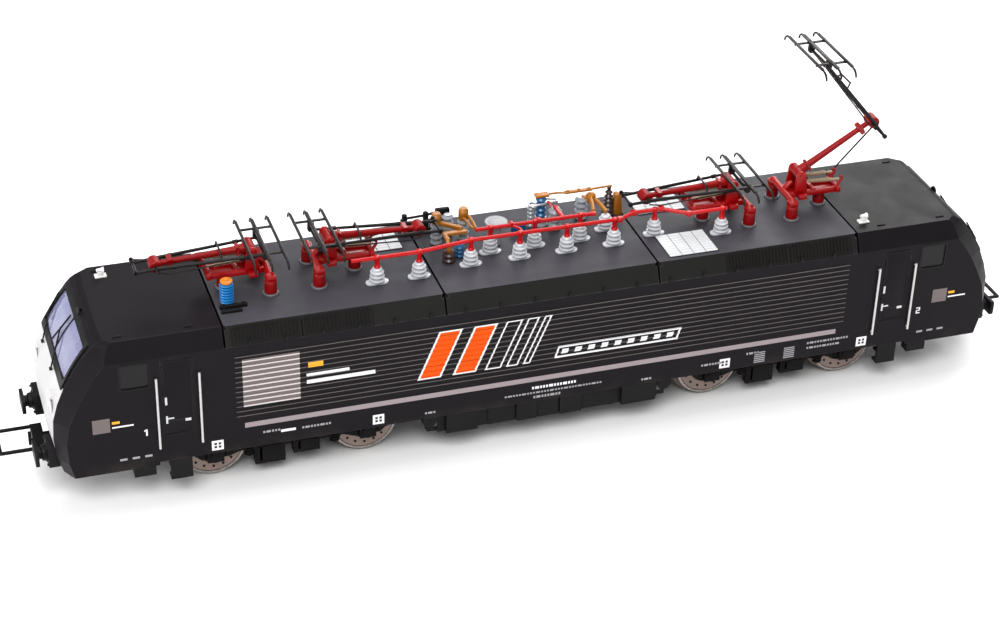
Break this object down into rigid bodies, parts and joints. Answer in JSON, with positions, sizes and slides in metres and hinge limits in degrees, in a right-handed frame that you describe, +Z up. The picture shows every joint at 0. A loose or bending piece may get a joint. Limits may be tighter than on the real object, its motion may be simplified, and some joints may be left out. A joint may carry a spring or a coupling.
{
  "type": "model electric locomotive",
  "caption": "Model electric locomotive with two swivelling bogies, a motor drive line, loop couplings and hinged roof pantographs, one of them raised.",
  "frame": {"origin": "centre of the bounding box at the bottom of the wheel flanges", "axes": "+X along the length towards the cab whose pantograph is raised, +Y across to the far side, +Z up"},
  "size_m": [0.2348, 0.036, 0.0789],
  "materials": {
    "black_shell": "satin",
    "grey_roof": "matt",
    "clear_glazing": "gloss",
    "white_rail": "satin",
    "black_plastic": "matt",
    "cast_metal": "matt",
    "motor_steel": "satin",
    "brass": "satin",
    "wheel_steel": "satin",
    "board_green": "satin",
    "cab_grey": "matt",
    "steel_screw": "satin",
    "red_metal": "satin",
    "dark_metal": "satin",
    "light_insulator": "gloss",
    "ochre_metal": "satin",
    "blue_insulator": "gloss",
    "pale_metal": "matt"
  },
  "bodies": {
    "chassis": {"body_shell": "black_shell", "roof_panel_left": "grey_roof", "roof_panel_middle": "grey_roof", "roof_panel_right": "grey_roof", "windscreens": "clear_glazing", "cab_side_windows": "clear_glazing", "headlight_guides": "clear_glazing", "door_handrails": "white_rail", "windscreen_wipers": "black_plastic", "chassis_frame": "cast_metal", "underframe_boxes": "black_plastic", "door_steps": "black_plastic", "motor_housing": "motor_steel", "circuit_board": "board_green", "decoder": "black_plastic", "cab_interiors": "cab_grey", "body_screws": "steel_screw", "buffers": "black_plastic", "roof_insulators": "light_insulator", "roof_busbars": "red_metal", "disconnectors": "ochre_metal", "main_breaker": "blue_insulator", "surge_arrester": "blue_insulator", "vent_disc": "pale_metal", "roof_walkways": "pale_metal", "cable_duct": "black_plastic", "whistles": "white_rail", "pantograph_bases": "red_metal", "pantograph_feet": "red_metal"},
    "bogie_1": {"bogie_1": "cast_metal", "gear_cover_1": "black_plastic"},
    "bogie_2": {"bogie_2": "cast_metal", "gear_cover_2": "black_plastic"},
    "rotor": {"motor_shaft": "motor_steel", "flywheels": "brass", "drive_shafts": "motor_steel"},
    "worm_1": {"worm_1": "brass"},
    "worm_2": {"worm_2": "brass"},
    "coupler_1": {"coupler_1": "black_plastic"},
    "coupler_2": {"coupler_2": "black_plastic"},
    "wheelset_1": {"wheelset_1": "wheel_steel"},
    "lower_arm_1": {"lower_arm_1": "red_metal"},
    "upper_arm_1": {"upper_arm_1": "dark_metal"},
    "head_1": {"head_1": "dark_metal"},
    "control_rod_1": {"control_rod_1": "dark_metal"},
    "wheelset_2": {"wheelset_2": "wheel_steel"},
    "lower_arm_2": {"lower_arm_2": "red_metal"},
    "upper_arm_2": {"upper_arm_2": "dark_metal"},
    "head_2": {"head_2": "dark_metal"},
    "control_rod_2": {"control_rod_2": "dark_metal"},
    "wheelset_3": {"wheelset_3": "wheel_steel"},
    "lower_arm_3": {"lower_arm_3": "red_metal"},
    "upper_arm_3": {"upper_arm_3": "dark_metal"},
    "head_3": {"head_3": "dark_metal"},
    "control_rod_3": {"control_rod_3": "dark_metal"},
    "wheelset_4": {"wheelset_4": "wheel_steel"},
    "lower_arm_4": {"lower_arm_4": "red_metal"},
    "upper_arm_4": {"upper_arm_4": "dark_metal"},
    "head_4": {"head_4": "dark_metal"},
    "control_rod_4": {"control_rod_4": "dark_metal"}
  },
  "joints": [
    {"name": "bogie_1_swivel", "type": "hinge", "parent": "chassis", "child": "bogie_1", "pos_m": [-0.0569, 0, 0.0184], "axis": [0, 0, 1], "range_deg": [-8, 8]},
    {"name": "coupler_1_swing", "type": "hinge", "parent": "chassis", "child": "coupler_1", "pos_m": [-0.0998, 0, 0.012], "axis": [0, 0, 1], "range_deg": [-15, 15]},
    {"name": "bogie_2_swivel", "type": "hinge", "parent": "chassis", "child": "bogie_2", "pos_m": [0.0569, 0, 0.0184], "axis": [0, 0, 1], "range_deg": [-8, 8]},
    {"name": "coupler_2_swing", "type": "hinge", "parent": "chassis", "child": "coupler_2", "pos_m": [0.0998, 0, 0.012], "axis": [0, 0, 1], "range_deg": [-15, 15]},
    {"name": "motor_spin", "type": "hinge", "parent": "chassis", "child": "rotor", "pos_m": [0, 0, 0.0156], "axis": [1, 0, 0], "continuous": true},
    {"name": "worm_1_spin", "type": "hinge", "parent": "bogie_1", "child": "worm_1", "pos_m": [-0.0569, 0, 0.0156], "axis": [1, 0, 0], "continuous": true},
    {"name": "worm_2_spin", "type": "hinge", "parent": "bogie_2", "child": "worm_2", "pos_m": [0.0569, 0, 0.0156], "axis": [1, 0, 0], "continuous": true},
    {"name": "wheelset_1_spin", "type": "hinge", "parent": "bogie_1", "child": "wheelset_1", "pos_m": [-0.07357, 0, 0.0082], "axis": [0, 1, 0], "continuous": true},
    {"name": "wheelset_2_spin", "type": "hinge", "parent": "bogie_1", "child": "wheelset_2", "pos_m": [-0.04023, 0, 0.0082], "axis": [0, 1, 0], "continuous": true},
    {"name": "wheelset_3_spin", "type": "hinge", "parent": "bogie_2", "child": "wheelset_3", "pos_m": [0.04023, 0, 0.0082], "axis": [0, 1, 0], "continuous": true},
    {"name": "wheelset_4_spin", "type": "hinge", "parent": "bogie_2", "child": "wheelset_4", "pos_m": [0.07357, 0, 0.0082], "axis": [0, 1, 0], "continuous": true},
    {"name": "pantograph_1_raise", "type": "hinge", "parent": "chassis", "child": "lower_arm_1", "pos_m": [-0.0619, 0, 0.0495], "axis": [0, 1, 0], "range_deg": [0, 38]},
    {"name": "pantograph_1_knee", "type": "hinge", "parent": "lower_arm_1", "child": "upper_arm_1", "pos_m": [-0.08188, 0, 0.04859], "axis": [0, 1, 0], "range_deg": [-90.28, 0]},
    {"name": "pantograph_1_head", "type": "hinge", "parent": "upper_arm_1", "child": "head_1", "pos_m": [-0.05949, 0, 0.04937], "axis": [0, 1, 0], "range_deg": [0, 52.28]},
    {"name": "pantograph_1_rod", "type": "hinge", "parent": "chassis", "child": "control_rod_1", "pos_m": [-0.0717, 0.0034, 0.046], "axis": [0, 1, 0], "range_deg": [0, 42.51]},
    {"name": "pantograph_2_raise", "type": "hinge", "parent": "chassis", "child": "lower_arm_2", "pos_m": [-0.0453, 0, 0.0495], "axis": [0, -1, 0], "range_deg": [0, 38]},
    {"name": "pantograph_2_knee", "type": "hinge", "parent": "lower_arm_2", "child": "upper_arm_2", "pos_m": [-0.02532, 0, 0.04859], "axis": [0, -1, 0], "range_deg": [-90.28, 0]},
    {"name": "pantograph_2_head", "type": "hinge", "parent": "upper_arm_2", "child": "head_2", "pos_m": [-0.04771, 0, 0.04937], "axis": [0, -1, 0], "range_deg": [0, 52.28]},
    {"name": "pantograph_2_rod", "type": "hinge", "parent": "chassis", "child": "control_rod_2", "pos_m": [-0.0355, 0.0034, 0.046], "axis": [0, -1, 0], "range_deg": [0, 42.51]},
    {"name": "pantograph_3_raise", "type": "hinge", "parent": "chassis", "child": "lower_arm_3", "pos_m": [0.0464, 0, 0.0495], "axis": [0, 1, 0], "range_deg": [0, 38]},
    {"name": "pantograph_3_knee", "type": "hinge", "parent": "lower_arm_3", "child": "upper_arm_3", "pos_m": [0.02642, 0, 0.04859], "axis": [0, 1, 0], "range_deg": [-90.28, 0]},
    {"name": "pantograph_3_head", "type": "hinge", "parent": "upper_arm_3", "child": "head_3", "pos_m": [0.04881, 0, 0.04937], "axis": [0, 1, 0], "range_deg": [0, 52.28]},
    {"name": "pantograph_3_rod", "type": "hinge", "parent": "chassis", "child": "control_rod_3", "pos_m": [0.0366, 0.0034, 0.046], "axis": [0, 1, 0], "range_deg": [0, 42.51]},
    {"name": "pantograph_4_raise", "type": "hinge", "parent": "chassis", "child": "lower_arm_4", "pos_m": [0.0629, 0, 0.0495], "axis": [0, -1, 0], "range_deg": [-34.6, 3.4]},
    {"name": "pantograph_4_knee", "type": "hinge", "parent": "lower_arm_4", "child": "upper_arm_4", "pos_m": [0.07986, 0, 0.0601], "axis": [0, -1, 0], "range_deg": [-8.08, 82.2]},
    {"name": "pantograph_4_head", "type": "hinge", "parent": "upper_arm_4", "child": "head_4", "pos_m": [0.06534, 0, 0.07716], "axis": [0, -1, 0], "range_deg": [-47.61, 4.68]},
    {"name": "pantograph_4_rod", "type": "hinge", "parent": "chassis", "child": "control_rod_4", "pos_m": [0.0727, 0.0034, 0.046], "axis": [0, -1, 0], "range_deg": [-38.7, 3.81]}
  ],
  "couplings": [
    {"joint": "worm_1_spin", "follows": "motor_spin", "ratio": 1},
    {"joint": "worm_2_spin", "follows": "motor_spin", "ratio": 1},
    {"joint": "wheelset_1_spin", "follows": "motor_spin", "ratio": -0.038462},
    {"joint": "wheelset_4_spin", "follows": "motor_spin", "ratio": -0.038462},
    {"joint": "pantograph_1_knee", "follows": "pantograph_1_raise", "ratio": -2.3757},
    {"joint": "pantograph_1_head", "follows": "pantograph_1_raise", "ratio": 1.3757},
    {"joint": "pantograph_1_rod", "follows": "pantograph_1_raise", "ratio": 1.1185},
    {"joint": "pantograph_2_knee", "follows": "pantograph_2_raise", "ratio": -2.3757},
    {"joint": "pantograph_2_head", "follows": "pantograph_2_raise", "ratio": 1.3757},
    {"joint": "pantograph_2_rod", "follows": "pantograph_2_raise", "ratio": 1.1185},
    {"joint": "pantograph_3_knee", "follows": "pantograph_3_raise", "ratio": -2.3757},
    {"joint": "pantograph_3_head", "follows": "pantograph_3_raise", "ratio": 1.3757},
    {"joint": "pantograph_3_rod", "follows": "pantograph_3_raise", "ratio": 1.1185},
    {"joint": "pantograph_4_knee", "follows": "pantograph_4_raise", "ratio": -2.3757},
    {"joint": "pantograph_4_head", "follows": "pantograph_4_raise", "ratio": 1.3757},
    {"joint": "pantograph_4_rod", "follows": "pantograph_4_raise", "ratio": 1.1185}
  ]
}
